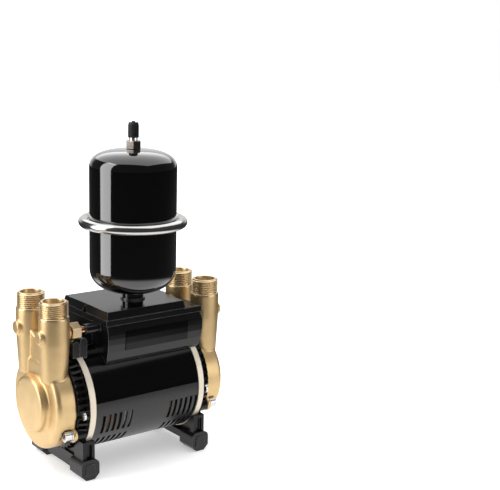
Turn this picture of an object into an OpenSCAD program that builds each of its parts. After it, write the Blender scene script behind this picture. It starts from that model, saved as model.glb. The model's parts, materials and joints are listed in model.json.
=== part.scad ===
// Twin-ended shower pump: a cowled motor on two end brackets, a cast brass pump head on each
// end of its shaft, a terminal box over the motor and a small pressure vessel above the box.
// X runs along the shaft, the front is -Y, +Z is up, and the floor is z = 0.

/* [Motor] */
// Height of the shaft axis above the floor
axis_z = 67; // [66:0.5:70]
// Outside radius of the plastic cowl
cowl_r = 51; // [50:0.25:52]
// Half of the cowl's length
cowl_half = 63.4; // [62:0.2:66]
// Wall of the cowl
cowl_wall = 2; // [1.6:0.1:2.4]
// Width of the strap that holds each end of the cowl
strap_w = 5.8; // [5:0.2:7]
// Thickness of that strap
strap_t = 1; // [0.6:0.1:1.2]
// Height of the cowl's side seam above the shaft axis
seam_rise = 5.8; // [3:0.2:8]
// Half of the stator's length
stator_half = 26; // [22:0.5:27]
// Outside radius of the rotor
rotor_r = 24; // [22:0.25:25]
// Radius of the shaft at the bearings and pumps
shaft_r = 6; // [5:0.1:6.5]
// Radius of the shaft between the bearings
shaft_mid_r = 8; // [7.4:0.1:8.6]

/* [Cowl vents] */
// Slots in each row of a vent group
vent_count = 6; // [4:1:6]
// Distance from slot to slot along the shaft
vent_pitch = 5.9; // [5:0.1:6]
// Width of a slot
vent_w = 3; // [2:0.1:3.4]
// First slot of the left group, along X
vent_left_x = -48; // [-50:0.5:-46]
// First slot of the right group, along X
vent_right_x = 26; // [22:0.5:26]
// Angle below level at which the upper row starts
vent_upper_angle = 8; // [6:0.5:10]
// Angle below level at which the lower row starts
vent_lower_angle = 39; // [37:0.5:41]
// Angle that each slot spans
vent_span = 23; // [18:0.5:25]

/* [Bearings] */
// Outside radius of a bearing
bearing_r = 16; // [15:0.25:17]
// Width of a bearing
bearing_w = 10; // [9:0.25:10.5]
// Distance from the cowl's end inwards to the inner face of a bearing
bearing_in = 21.2; // [20.5:0.1:21.8]
// Radius of a ball
ball_r = 2.9; // [2.5:0.05:3]
// Balls in a bearing
ball_count = 8; // [7:1:8]

/* [Pump heads] */
// Distance from the cowl's end outwards to the flat inner face of a pump body
nose_l = 9.6; // [9.2:0.1:10]
// Outside radius of the pump body
volute_r = 44; // [43:0.25:45.5]
// Depth of the pump body from its inner face to its shoulder
volute_w = 19.4; // [18.5:0.1:20.5]
// Radius of the raised end disc
disc_r = 27; // [24:0.25:28]
// Height of the raised end disc
disc_t = 7.6; // [6:0.1:9]
// Distance of the line of port towers inwards from the side of the terminal box
tower_in = 16; // [15.25:0.25:17.5]
// Distance of the tower axes from the inner face
tower_out = 11; // [10.5:0.1:11.5]
// Radius of a tower at its top
tower_r = 14; // [13.5:0.1:14.6]
// Radius of a tower where it meets the pump body
tower_foot_r = 12; // [11.5:0.1:13]
// Height of the port rims above the shaft axis
port_rise = 101; // [98:0.5:104]
// Outside radius of a G3/4 male thread
port_r = 13.22; // [13.22:0.01:13.3]
// Length of the threaded port
port_len = 14; // [12:0.5:16]
// Radius of the port's bore
port_bore_r = 9.5; // [9:0.1:10]
// Radius of the waterway below the float seat
waterway_r = 6.5; // [5.5:0.1:6.8]
// Height of the web between the towers above the shaft axis
web_rise = 72; // [64:0.5:76]
// Thickness of that web
web_t = 14; // [10:0.25:15]
// Radius of the round boss on each tower's outer side
boss_r = 6.3; // [5:0.1:7]
// How far that boss stands out
boss_t = 2.6; // [1:0.1:3.2]
// Height of that boss above the shaft axis
boss_rise = 68; // [64:0.5:72]
// Radius of the impeller
impeller_r = 35; // [34:0.1:35.5]
// Width of the impeller
impeller_w = 9; // [8:0.1:9.4]
// Vanes around the impeller's rim
vane_count = 36; // [24:1:40]
// Outside radius of the water channel
channel_r = 37.6; // [37:0.1:38]
// Radius at which the three pump screws stand
screw_ring_r = 46; // [45.6:0.1:46.6]

/* [Feet] */
// Width of a rubber foot along the shaft
foot_w = 19; // [17:0.25:21]
// Depth of a rubber foot
foot_d = 22; // [19:0.25:24]
// Height of a rubber foot
foot_h = 19; // [16:0.25:21]
// Thickness of rubber under the leg
foot_sole = 5.9; // [4:0.1:8]
// Distance from the shaft to the front of the legs
leg_y = 46; // [45:0.25:47]
// Width of a leg along the shaft
leg_w = 12.4; // [11:0.2:13]
// Thickness of the bar between two legs
bar_t = 7; // [5:0.1:8]

/* [Terminal box] */
// Left end of the box
box_left = -38; // [-40:0.5:-36]
// Right end of the box at its rim
box_right = 67; // [66:0.25:67.5]
// Half of the box's depth at its rim
box_half = 38; // [37:0.25:39]
// Height of the box's lower edge above the shaft axis
box_edge_rise = 37; // [36:0.25:38]
// Height of the box's rim above the shaft axis
box_rise = 73; // [72.5:0.25:75]
// How far the sides of the box bulge
box_bulge = 2.4; // [1:0.1:2.6]
// Wall of the box
box_wall = 2.5; // [2:0.1:3]
// Thickness of the lid with its skirt
lid_t = 6.4; // [5.5:0.1:7]
// How far the lid stands out over the box
lid_lip = 1.1; // [0.6:0.1:1.4]
// Height of the raised plate on the lid
plate_t = 7.6; // [6.5:0.1:9]
// Length of the raised plate
plate_l = 84; // [80:0.5:88]
// Half of the raised plate's depth
plate_half = 39.4; // [38:0.2:40]
// Slope of the plate's bevelled edge, as a width
plate_bevel = 2; // [1:0.1:3]

/* [Pressure vessel] */
// Outside radius of the vessel
vessel_r = 40.7; // [38:0.25:42]
// Height of the vessel from crown to crown
vessel_h = 136; // [126:0.5:146]
// Height of each domed end
dome_h = 19; // [15:0.5:24]
// Height of the neck between the plate and the vessel
neck_h = 11; // [9:0.25:14]
// Wall of the vessel
vessel_wall = 1.5; // [1.2:0.1:2]
// Outside radius of the bright clamp ring
ring_r = 50.8; // [49.5:0.1:52]
// Radius of the ring's round section
ring_section_r = 4.7; // [4.2:0.1:5]
// Radius of the air valve's stem
valve_r = 3.85; // [3.5:0.05:4]
// Height of the air valve's cap
cap_h = 15; // [13:0.25:17]
// Outside radius of the cap
cap_r = 5; // [4.9:0.05:5.6]

/* [Hidden] */
$fn = 64;

// Overrun of a cut past the face that it opens
over = 1;
// Gap between pieces that only sit together
fit = 0.1;
// Gap left beside pieces that run or that cover each other
gap = 0.3;
// Steps in a rounded corner of an outline
round_steps = 4;

// Motor
bearing_x = cowl_half - bearing_in;
head_x = cowl_half + nose_l;
tower_y = box_half - tower_in;
cowl_in_r = cowl_r - cowl_wall;
strap_r = cowl_r + strap_t;
strap_x = cowl_half - strap_w;
stator_r = cowl_in_r - gap;
air_gap = 0.5;
stator_in_r = rotor_r + air_gap;
winding_l = 11.5;
winding_round = 4;
winding_in_r = rotor_r + 3 * air_gap + winding_round / 2;
winding_r = stator_r - 2 * winding_round + over;
end_ring_l = 5;
end_ring_r = rotor_r - over;
end_ring_in_r = rotor_r - 2 * end_ring_l;
seam_gap = 0.1;

// Brackets
rim_l = 11.4;
rim_t = 3.2;
web_in_x = cowl_half - 3.4;
hub_r = bearing_r + 6;
bearing_out_x = bearing_x + bearing_w + fit;
bearing_shoulder = 3.4;
bearing_shoulder_r = bearing_r - 4;
plate_pocket_x = head_x - 6.3;
nose_r = volute_r + 2;
nose_wall = 3.3;
back_plate_r = nose_r - nose_wall - gap;
cup_r = 18;
fin_count = 48;
fin_w = 2.2;
fin_h = 1.4;
fin_in = 0.8;
nose_skin = 1.9;
nose_flange = 1.6;
nose_lip = 1.2;
tie_ring_r = stator_r - 1.5;
tie_angles = [185, 305, 65];
tie_r = 1.7;
tie_head_r = 4.2;
tie_head_h = 2.4;
tie_seat_x = cowl_half + 3.6;
tie_seat_r = tie_head_r + 0.2;
tie_boss_r = tie_head_r + gap;
tie_depth = 11;

// Legs and feet
leg_out_x = cowl_half + 5;
leg_x = leg_out_x - leg_w / 2;
leg_d = 16;
leg_h = 30;
leg_channel_w = 6.2;
leg_channel_d = 2.4;
leg_channel_sill = 4;
leg_channel_top = 3;
bar_w = leg_w - 2;
bar_wall_h = bar_t + 6;
panel_t = 2.8;
panel_x = cowl_half + 0.2;
panel_in = 1.4;
panel_rise = 0;
panel_half = 34;
foot_round = 5;
foot_front = 3;
pad_t = 0.8;

// Pump heads
shoulder_x = head_x + volute_w;
disc_x = shoulder_x + disc_t;
shoulder_round = 4.5;
disc_round = 3;
disc_fillet = 1.6;
tower_x = head_x + tower_out;
tower_straight = 62;
tower_start = 25;
collar_h = 1.4;
relief_r = nose_r + fin_h + gap;
web_notch_r = tower_y - tower_r + 1.5;
impeller_x = head_x + 2.5;
impeller_gap = 0.3;
pocket_x = impeller_x + impeller_w + impeller_gap;
channel_x = pocket_x + 2.7;
channel_in_r = impeller_r - 7;
stripper_half = 9;
nut_pocket_r = 10.4;
nut_pocket_x = pocket_x + 6.8;
waterway_start = 24;
float_seat = 56;
float_r = port_bore_r - 0.3;
float_h = 14;
float_travel = 9;
stop_h = 2;
stop_t = 1.4;
stop_z = axis_z + float_seat + gap + float_h + float_travel + gap;
lug_r = 6.8;
lug_l = 4;
bracket_boss_r = 6;
lug_angles = [90, 210, 330];
screw_r = 3;
screw_hole_r = 3.2;
screw_head_r = 5;
screw_head_h = 6;
screw_socket_r = 2.9;
screw_socket_h = 3;
screw_end_x = cowl_half + 0.4;
washer_r = 5.4;
washer_t = 1.4;
seal_groove_r = channel_r + 1.2;
seal_groove_w = 2.2;
seal_groove_h = 2;
cup_in_r = 13.5;
cup_floor_x = head_x - 14;
cup_wall = 3;
shaft_hole_r = shaft_r + 0.6;
seat_t = 4;
seal_head_r = 11;
shaft_fit = 0.02;
land_r = channel_in_r - gap;
land_x = impeller_x - impeller_gap;
nut_flats = 16;
nut_t = 4.6;
shaft_end_x = impeller_x + impeller_w + nut_t + 1;

// Link from the left front tower to the vessel
link_rise = 69.4;
link_z = axis_z + link_rise;
link_boss_r = 6.4;
link_boss_out = 1.4;
link_boss_x = tower_x - tower_r - link_boss_out;
link_nut_flats = 15;
link_nut_l = 9;
link_pipe_r = 3.2;
link_spigot_l = 6;
tee_r = 7;
tee_bore_r = 5;
tee_left = -14;
tee_right = 12;
tee_boss_r = 11;
neck_thread_r = 8.3;
switch_stem_r = 5.5;
switch_stem_l = 8;
switch_l = 22;
switch_w = 20;
switch_h = 16;
switch_plug_l = 3;
switch_plug_r = 5;

// Terminal box
box_edge_z = axis_z + box_edge_rise;
box_rim_z = axis_z + box_rise;
box_floor_z = axis_z + cowl_r + 3.4;
saddle_r = cowl_r + gap;
strap_saddle_r = strap_r + gap + 0.05;
strap_saddle_x = strap_x - gap;
shelf_left = -(cowl_half - 0.4);
shelf_front = 11;
shelf_half = 29;
shelf_z = box_rim_z - 10;
// Two posts with round tops stand in front of the shelf, under the link's nut
post_front = 27;
post_d = 12;
post_w = 6.9;
post_gap = 0.8;
post_x = -(link_boss_x - 8.2);
post_z = link_z - link_nut_flats / sqrt(3) - gap;
post_step_h = 2.6;
sleeve_r = link_pipe_r + 1.8;
sleeve_x = post_x + post_gap + post_w;
box_side_h = box_rim_z - box_edge_z;
// Height up the side and outward share of the bulge at each point of the side's curve
side_shares = [[0, -0.7], [0.09, -0.05], [0.31, 0.62], [0.5, 0.9], [0.66, 1], [0.76, 1], [0.83, 0.9],
    [1, 0]];
lid_z = box_rim_z;
lid_top_z = lid_z + lid_t;
lid_skin = 2.6;
plate_z = lid_top_z + fit;
plate_top_z = plate_z + plate_t;
plate_skin = 3;
plate_mid_x = box_left + plate_l / 2;
notch_half = 4.6;
lid_screw_r = 2;
lid_screw_head_r = 3.6;
lid_screw_in = 7;
lid_screw_l = 18;
pillar_r = 4.4;
wire_x = -30.5;
wire_y = -12;
wire_r = 4.2;
wire_bore_r = 2.6;
wire_lip_r = 4.9;
wire_lip_t = 1.2;
panel_left = -19;
panel_right = 51;
panel_low_share = 0.31;
panel_high_share = 0.83;
panel_stand = 0.7;
board_l = 37;
board_t = 1.6;
board_x = 17;
board_y = -9;
board_in = 6.5;
board_d = box_half - box_wall - board_in - board_y;
board_lift = 3;
board_post_r = 2.5;
board_post_in = 4;
relay_l = 16;
relay_d = 12;
relay_h = 13;
block_l = 26;
block_d = 8;
block_h = 10;
coil_r = 5;
coil_h = 10;
cap_body_r = 10.2;
cap_body_l = 44;
cap_body_x = -34;
cap_body_in = 9.3;
cap_body_y = box_half - box_wall - cap_body_r - cap_body_in;
cap_tag_l = 6;
cap_tag_w = 2;
cap_tag_t = 0.8;
cap_tag_y = 4;
gland_x = 42;
gland_z = box_edge_z + 19;
gland_r = 8;
gland_bore_r = 3.8;
gland_flats = 19;
gland_l = 11;
gland_well_l = 23;
gland_well_w = 6;

// Vessel
vessel_y = -tower_y;
vessel_z = plate_top_z + neck_h;
vessel_mid_z = vessel_z + vessel_h / 2;
vessel_top_z = vessel_z + vessel_h;
dome_power = 2.7;
low_dome_h = dome_h + 6;
low_dome_power = 2.4;
dome_steps = 9;
neck_r = 10;
neck_bore_r = 5;
ring_mid_r = ring_r - ring_section_r;
flange_r = vessel_r + 2.2;
flange_t = 1.6;
diaphragm_t = 1.8;
valve_nut_flats = 13;
valve_nut_h = 7.4;
valve_stem_h = 22;
valve_bore_r = 1.6;
valve_pin_r = 1.1;
valve_travel = 1.2;
cap_lift = 11;
cap_wall = 0.9;
cap_ribs = 20;
cap_nub_r = 1.6;
cap_nub_h = 1.2;
clip_r = neck_r + 1.6;
clip_h = 3;

// The part stands with the middle of its footprint over the origin
stand_y = (ring_r + tower_y - strap_r) / 2;

module placed() {
    translate([0, stand_y, 0]) children();
}

function arc(x, y, r, a0, a1) =
    [for (i = [0 : round_steps]) let (a = a0 + (a1 - a0) * i / round_steps)
        [x + r * cos(a), y + r * sin(a)]];

// Half outline of a domed end: radius against height, from the crown to the straight wall
function dome(r, h, z, up, power = dome_power) =
    [for (i = [0 : dome_steps]) let (s = i / dome_steps, q = sin(90 * s))
        [r * q, z + up * h * pow(1 - pow(q, power), 1 / power)]];

module both_ends() {
    children();
    mirror([1, 0, 0]) children();
}

module left_end() {
    mirror([1, 0, 0]) children();
}

// An outline of [radius, x] points turned about the shaft
module turned(outline) {
    translate([0, 0, axis_z]) rotate([0, 90, 0]) rotate_extrude() polygon(outline);
}

// A round bar along X, at radius ring from the shaft, at an angle from +Y towards +Z
module bar_x(x0, x1, r, ring = 0, angle = 0) {
    translate([x0, ring * cos(angle), axis_z + ring * sin(angle)])
        rotate([0, 90, 0]) cylinder(h = x1 - x0, r = r);
}

// A hexagon bar along X, by its width across the flats
module hex_x(x0, x1, flats, y = 0, z = axis_z) {
    translate([x0, y, z]) rotate([0, 90, 0]) cylinder(h = x1 - x0, r = flats / sqrt(3), $fn = 6);
}

// Cowl
module cowl_tube() {
    turned([[cowl_in_r, -cowl_half], [cowl_r, -cowl_half], [cowl_r, cowl_half], [cowl_in_r, cowl_half]]);
}

module above_seam(z) {
    translate([-cowl_half - over, -cowl_r - over, z])
        cube([2 * (cowl_half + over), 2 * (cowl_r + over), 2 * cowl_r]);
}

// One slot that follows the cowl's curve; the angle is measured below level on the front side
module vent(x, angle, side) {
    translate([x - vent_w / 2, 0, axis_z]) rotate([0, 90, 0])
        rotate([0, 0, side * (90 - angle - vent_span) - (side > 0 ? 0 : vent_span)])
            rotate_extrude(angle = vent_span)
                translate([cowl_in_r - over, 0]) square([cowl_wall + 2 * over, vent_w]);
}

module vents() {
    for (side = [-1, 1], angle = [vent_upper_angle, vent_lower_angle], x0 = [vent_left_x, vent_right_x],
         i = [0 : vent_count - 1])
        vent(x0 + i * vent_pitch, angle, side);
}

module cowl_upper() {
    color("black") difference() {
        intersection() {
            cowl_tube();
            above_seam(axis_z + seam_rise + seam_gap);
        }
        translate([wire_x, wire_y, axis_z]) cylinder(h = 2 * cowl_r, r = wire_r + fit);
    }
}

module cowl_lower() {
    color("dimgray") difference() {
        cowl_tube();
        above_seam(axis_z + seam_rise);
        vents();
    }
}

module strap() {
    color("wheat") turned([[cowl_r + fit / 2, strap_x], [strap_r, strap_x],
                           [strap_r, cowl_half], [cowl_r + fit / 2, cowl_half]]);
}

// Motor
module stator_core() {
    color("gray") difference() {
        turned([[stator_in_r, -stator_half], [stator_r, -stator_half],
                [stator_r, stator_half], [stator_in_r, stator_half]]);
        for (a = tie_angles, side = [0, 1]) mirror([side, 0, 0])
            bar_x(stator_half - tie_depth - gap, stator_half + over, tie_r + fit / 2, tie_ring_r, a);
    }
}

module stator_windings() {
    x0 = stator_half + gap;
    x1 = x0 + winding_l;
    color("peru") both_ends() turned(concat(
        [[winding_in_r, x0], [winding_r, x0]],
        arc(winding_r - winding_round, x1 - winding_round, winding_round, 0, 90),
        arc(winding_in_r + winding_round, x1 - winding_round, winding_round, 90, 180)));
}

module tie_screws() {
    color("silver") both_ends() for (a = tie_angles) difference() {
        union() {
            bar_x(stator_half - tie_depth, tie_seat_x + fit, tie_r, tie_ring_r, a);
            bar_x(tie_seat_x + fit, tie_seat_x + tie_head_h, tie_head_r, tie_ring_r, a);
        }
        bar_x(tie_seat_x + tie_head_h / 2, tie_seat_x + tie_head_h + over, tie_r / 2, tie_ring_r, a);
    }
}

module bearing_outer() {
    race_r = (bearing_r + shaft_r) / 2;
    color("silver") difference() {
        turned([[race_r + ball_r - over, bearing_x], [bearing_r, bearing_x],
                [bearing_r, bearing_x + bearing_w], [race_r + ball_r - over, bearing_x + bearing_w]]);
        ball_groove();
    }
}

module ball_groove() {
    race_r = (bearing_r + shaft_r) / 2;
    translate([bearing_x + bearing_w / 2, 0, axis_z]) rotate([0, 90, 0])
        rotate_extrude() translate([race_r, 0]) circle(r = ball_r + fit / 2);
}

module bearing_inner() {
    race_r = (bearing_r + shaft_r) / 2;
    color("silver") difference() {
        turned([[shaft_r + shaft_fit, bearing_x], [race_r - ball_r + over, bearing_x],
                [race_r - ball_r + over, bearing_x + bearing_w],
                [shaft_r + shaft_fit, bearing_x + bearing_w]]);
        ball_groove();
    }
}

module balls() {
    race_r = (bearing_r + shaft_r) / 2;
    cage_t = ball_r / 4;
    mid_x = bearing_x + bearing_w / 2;
    color("gainsboro") {
        for (i = [0 : ball_count - 1])
            translate([mid_x, 0, axis_z]) rotate([360 * i / ball_count, 0, 0])
                translate([0, race_r, 0]) sphere(r = ball_r);
        turned([[race_r - cage_t, mid_x - cage_t], [race_r + cage_t, mid_x - cage_t],
                [race_r + cage_t, mid_x + cage_t], [race_r - cage_t, mid_x + cage_t]]);
    }
}

module shaft() {
    color("silver") turned([[0, -shaft_end_x], [shaft_r, -shaft_end_x], [shaft_r, -bearing_x + fit],
        [shaft_mid_r, -bearing_x + fit], [shaft_mid_r, bearing_x - fit], [shaft_r, bearing_x - fit],
        [shaft_r, shaft_end_x], [0, shaft_end_x]]);
}

module rotor_core() {
    bore_r = shaft_mid_r + shaft_fit;
    end_x = stator_half + end_ring_l;
    color("darkgray") turned([[bore_r, -stator_half], [end_ring_in_r, -stator_half], [end_ring_in_r, -end_x],
        [end_ring_r, -end_x], [end_ring_r, -stator_half], [rotor_r, -stator_half], [rotor_r, stator_half],
        [end_ring_r, stator_half], [end_ring_r, end_x], [end_ring_in_r, end_x], [end_ring_in_r, stator_half],
        [bore_r, stator_half]]);
}

// End brackets: bearing hub, web, ribbed nose, leg panel with its bar, and two legs
module bracket_hub() {
    turned([[bearing_r + fit / 2, bearing_x - over], [hub_r, bearing_x - over], [hub_r, web_in_x],
        [stator_r - rim_t, web_in_x], [stator_r - rim_t, cowl_half - rim_l], [stator_r, cowl_half - rim_l],
        [stator_r, cowl_half + nose_flange], [nose_r - nose_wall + nose_skin, cowl_half + nose_flange],
        [nose_r - nose_wall + nose_skin, head_x - nose_lip], [nose_r, head_x - nose_lip],
        [nose_r, head_x], [nose_r - nose_wall, head_x],
        [nose_r - nose_wall, plate_pocket_x], [cup_r + gap, plate_pocket_x],
        [cup_r + gap, bearing_out_x + bearing_shoulder],
        [bearing_shoulder_r, bearing_out_x + bearing_shoulder], [bearing_shoulder_r, bearing_out_x],
        [bearing_r + fit / 2, bearing_out_x]]);
}

module bracket_fins() {
    intersection() {
        for (i = [0 : fin_count - 1])
            translate([0, 0, axis_z]) rotate([360 * i / fin_count, 0, 0])
                translate([cowl_half + fit, nose_r - nose_wall, -fin_w / 2])
                    cube([head_x - cowl_half, stator_r, fin_w]);
        turned([[nose_r - nose_wall + fin_in, cowl_half], [stator_r + fin_h / 2, cowl_half],
                [nose_r + fin_h, head_x - fin_h / 2], [nose_r, head_x],
                [nose_r - nose_wall + fin_in, head_x]]);
    }
}

module leg() {
    foot_z = foot_sole + fit;
    top_z = foot_z + leg_h;
    difference() {
        translate([leg_out_x - leg_w, -leg_y, foot_z]) cube([leg_w, leg_d, leg_h]);
        translate([leg_x - leg_channel_w / 2, -leg_y - over, foot_z + leg_channel_sill])
            cube([leg_channel_w, leg_channel_d + over, leg_h - leg_channel_sill - leg_channel_top]);
        turned([[0, 0], [strap_r + gap, 0], [strap_r + gap, panel_x], [nose_r - fit, panel_x],
                [nose_r - fit, leg_out_x + over], [0, leg_out_x + over]]);
        translate([leg_out_x - leg_w - over, -leg_y + leg_channel_d * 2, foot_z + leg_h / 2])
            rotate([-45, 0, 0]) cube([panel_x - leg_out_x + leg_w + over, leg_d * 2, leg_h]);
    }
}

module leg_panel() {
    foot_z = foot_sole + fit;
    top_z = foot_z + leg_h;
    translate([panel_x, 0, 0]) rotate([90, 0, 90]) linear_extrude(panel_t)
        polygon([[-leg_y + panel_in, foot_z], [leg_y - panel_in, foot_z],
                 [leg_y - panel_in, top_z - panel_in], [panel_half, axis_z - leg_d / 2],
                 [-panel_half, axis_z - leg_d / 2], [-leg_y + panel_in, top_z - panel_in]]);
    translate([leg_out_x - bar_w, -leg_y + leg_d / 2, foot_z]) cube([bar_w, 2 * leg_y - leg_d, bar_t]);
    translate([panel_x, -leg_y + leg_d / 2, foot_z])
        cube([leg_out_x - panel_x, 2 * leg_y - leg_d, bar_wall_h]);
}

module bracket() {
    color("black") difference() {
        union() {
            bracket_hub();
            bracket_fins();
            leg_panel();
            leg();
            mirror([0, 1, 0]) leg();
            for (a = lug_angles) bar_x(panel_x, head_x, bracket_boss_r, screw_ring_r, a);
            for (a = tie_angles) bar_x(panel_x, tie_seat_x, tie_boss_r, tie_ring_r, a);
        }
        bar_x(plate_pocket_x, head_x + over, nose_r - nose_wall);
        bar_x(bearing_out_x + bearing_shoulder, head_x + over, cup_r + gap);
        for (a = lug_angles) bar_x(screw_end_x, head_x + over, screw_r + fit / 2, screw_ring_r, a);
        for (a = tie_angles) {
            bar_x(0, head_x + over, tie_r + fit, tie_ring_r, a);
            bar_x(tie_seat_x, head_x + over, tie_seat_r, tie_ring_r, a);
        }
    }
}

// One rubber foot, a boot open at the top and at its inner side for the leg and the bar
module foot() {
    half = foot_w / 2;
    front = leg_y + foot_front;
    outline = concat(
        arc(half - foot_round, foot_h - foot_round, foot_round, 0, 90),
        arc(-half + foot_round, foot_h - foot_round, foot_round, 90, 180),
        [[-half, foot_round], [-half + foot_round, 0], [half - foot_round, 0], [half, foot_round]]);
    pad_low = foot_w * 0.3;
    pad_high = foot_w * 0.22;
    color("dimgray") difference() {
        union() {
            translate([leg_x, -front + foot_d, 0]) rotate([90, 0, 0])
                linear_extrude(foot_d) polygon(outline);
            translate([leg_x, -front + fit, 0]) rotate([90, 0, 0]) linear_extrude(pad_t + fit)
                polygon([[-pad_low, foot_h * 0.25], [pad_low, foot_h * 0.25],
                         [pad_high, foot_h * 0.8], [-pad_high, foot_h * 0.8]]);
        }
        translate([leg_x - leg_w / 2 - fit, -leg_y - fit, foot_sole])
            cube([leg_w + 2 * fit, foot_d + over, foot_h]);
    }
}

// Pump body: drum with a raised disc, two towers, the web between them and three lugs
module pump_outside() {
    turned(concat([[0, head_x], [volute_r, head_x]],
        arc(volute_r - shoulder_round, shoulder_x - shoulder_round, shoulder_round, 0, 90),
        [[disc_r + disc_fillet, shoulder_x], [disc_r, shoulder_x + disc_fillet]],
        arc(disc_r - disc_round, disc_x - disc_round, disc_round, 0, 90), [[0, disc_x]]));
    for (a = lug_angles) bar_x(head_x, head_x + lug_l, lug_r, screw_ring_r, a);
    for (side = [-1, 1]) translate([tower_x, side * tower_y, axis_z]) {
        translate([0, 0, tower_start])
            cylinder(h = tower_straight - tower_start, r1 = tower_foot_r, r2 = tower_r);
        translate([0, 0, tower_straight])
            cylinder(h = port_rise - port_len - collar_h - tower_straight, r = tower_r);
        translate([0, 0, port_rise - port_len - collar_h])
            cylinder(h = collar_h, r1 = tower_r, r2 = port_r);
        translate([0, 0, port_rise - port_len]) cylinder(h = port_len, r = port_r);
        translate([0, 0, boss_rise]) rotate([0, 90, 0]) cylinder(h = tower_r + boss_t, r = boss_r);
    }
    difference() {
        translate([tower_x - web_t / 2, -tower_y, axis_z]) cube([web_t, 2 * tower_y, web_rise]);
        translate([tower_x - web_t / 2 - over, 0, axis_z + web_rise])
            rotate([0, 90, 0]) cylinder(h = web_t + 2 * over, r = web_notch_r);
    }
}

module pump_inside() {
    bar_x(head_x - over, pocket_x, impeller_r + gap);
    bar_x(head_x - over, nut_pocket_x, nut_pocket_r);
    difference() {
        turned([[channel_in_r, head_x - over], [channel_r, head_x - over],
                [channel_r, channel_x], [channel_in_r, channel_x]]);
        translate([head_x - 2 * over, -stripper_half, axis_z])
            cube([volute_w, 2 * stripper_half, volute_r]);
    }
    turned([[seal_groove_r, head_x - over], [seal_groove_r + seal_groove_w, head_x - over],
            [seal_groove_r + seal_groove_w, head_x + seal_groove_h],
            [seal_groove_r, head_x + seal_groove_h]]);
    for (side = [-1, 1]) translate([tower_x, side * tower_y, axis_z]) {
        translate([0, 0, waterway_start]) cylinder(h = port_rise, r = waterway_r);
        translate([0, 0, float_seat]) cylinder(h = port_rise, r = port_bore_r);
    }
    for (a = lug_angles) bar_x(head_x - over, head_x + lug_l + over, screw_hole_r, screw_ring_r, a);
    for (a = lug_angles)
        bar_x(head_x + lug_l, head_x + lug_l + washer_t + screw_head_h + over, washer_r + gap,
              screw_ring_r, a);
    bar_x(head_x - tower_r, head_x, relief_r);
}

module pump_body() {
    color("goldenrod") difference() {
        pump_outside();
        pump_inside();
    }
}

// The left head also carries the tapped boss for the vessel's link
module pump_body_left() {
    left_end() color("goldenrod") difference() {
        union() {
            pump_outside();
            translate([link_boss_x, -tower_y, link_z]) rotate([0, 90, 0])
                cylinder(h = tower_x - link_boss_x, r = link_boss_r);
        }
        pump_inside();
        translate([link_boss_x - over, -tower_y, link_z]) rotate([0, 90, 0])
            cylinder(h = tower_x - link_boss_x + over, r = link_pipe_r + fit);
    }
}

module back_plate() {
    color("darkgoldenrod") difference() {
        union() {
            bar_x(plate_pocket_x + fit, head_x, back_plate_r);
            bar_x(head_x, land_x, land_r);
            bar_x(cup_floor_x - cup_wall, plate_pocket_x + over, cup_r);
        }
        bar_x(cup_floor_x, head_x + 2 * over + over, cup_in_r);
        bar_x(cup_floor_x - cup_wall - over, head_x, shaft_hole_r);
    }
}

module body_seals() {
    r0 = seal_groove_r + fit;
    r1 = seal_groove_r + seal_groove_w - fit;
    color("black") both_ends() turned([[r0, head_x + fit / 2], [r1, head_x + fit / 2],
        [r1, head_x + seal_groove_h - fit], [r0, head_x + seal_groove_h - fit]]);
}

module seal_seat() {
    color("white") turned([[shaft_hole_r, cup_floor_x + fit], [cup_in_r - fit, cup_floor_x + fit],
        [cup_in_r - fit, cup_floor_x + seat_t], [shaft_hole_r, cup_floor_x + seat_t]]);
}

module seal_head() {
    x0 = cup_floor_x + seat_t + gap;
    color("dimgray") turned([[shaft_r + shaft_fit, x0], [seal_head_r - 2 * over, x0],
        [seal_head_r - 2 * over, x0 + seat_t], [seal_head_r, x0 + seat_t],
        [seal_head_r, impeller_x - fit], [shaft_r + shaft_fit, impeller_x - fit]]);
}

// Peripheral impeller: a disc whose rim is cut into vanes on both sides
module impeller() {
    vane_in_r = impeller_r - 6.5;
    vane_depth = (impeller_w - 2.4) / 2;
    vane_t = 1.5;
    x1 = impeller_x + impeller_w;
    color("goldenrod") {
        turned([[shaft_r + shaft_fit, impeller_x], [vane_in_r, impeller_x],
            [vane_in_r, impeller_x + vane_depth], [impeller_r - over, impeller_x + vane_depth],
            [impeller_r - over, x1 - vane_depth], [vane_in_r, x1 - vane_depth], [vane_in_r, x1],
            [shaft_r + shaft_fit, x1]]);
        intersection() {
            for (i = [0 : vane_count - 1])
                translate([impeller_x, 0, axis_z]) rotate([360 * i / vane_count, 0, 0])
                    translate([0, vane_in_r - over, -vane_t / 2])
                        cube([impeller_w, impeller_r, vane_t]);
            bar_x(impeller_x, x1, impeller_r);
        }
    }
}

module impeller_nuts() {
    x0 = impeller_x + impeller_w + fit;
    color("silver") both_ends() difference() {
        hex_x(x0, x0 + nut_t, nut_flats);
        bar_x(x0 - over, x0 + nut_t + over, shaft_r + shaft_fit);
    }
}

module pump_screws() {
    x0 = head_x + lug_l + fit;
    color("silver") for (a = lug_angles) {
        difference() {
            bar_x(x0, x0 + washer_t, washer_r, screw_ring_r, a);
            bar_x(x0 - over, x0 + washer_t + over, screw_hole_r, screw_ring_r, a);
        }
        difference() {
            union() {
                bar_x(screw_end_x + over, x0 + washer_t + fit, screw_r, screw_ring_r, a);
                bar_x(x0 + washer_t + fit, x0 + washer_t + screw_head_h, screw_head_r, screw_ring_r, a);
            }
            translate([x0 + washer_t + screw_head_h - screw_socket_h, screw_ring_r * cos(a),
                       axis_z + screw_ring_r * sin(a)])
                rotate([0, 90, 0]) cylinder(h = screw_socket_h + over, r = screw_socket_r, $fn = 6);
        }
    }
}

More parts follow.
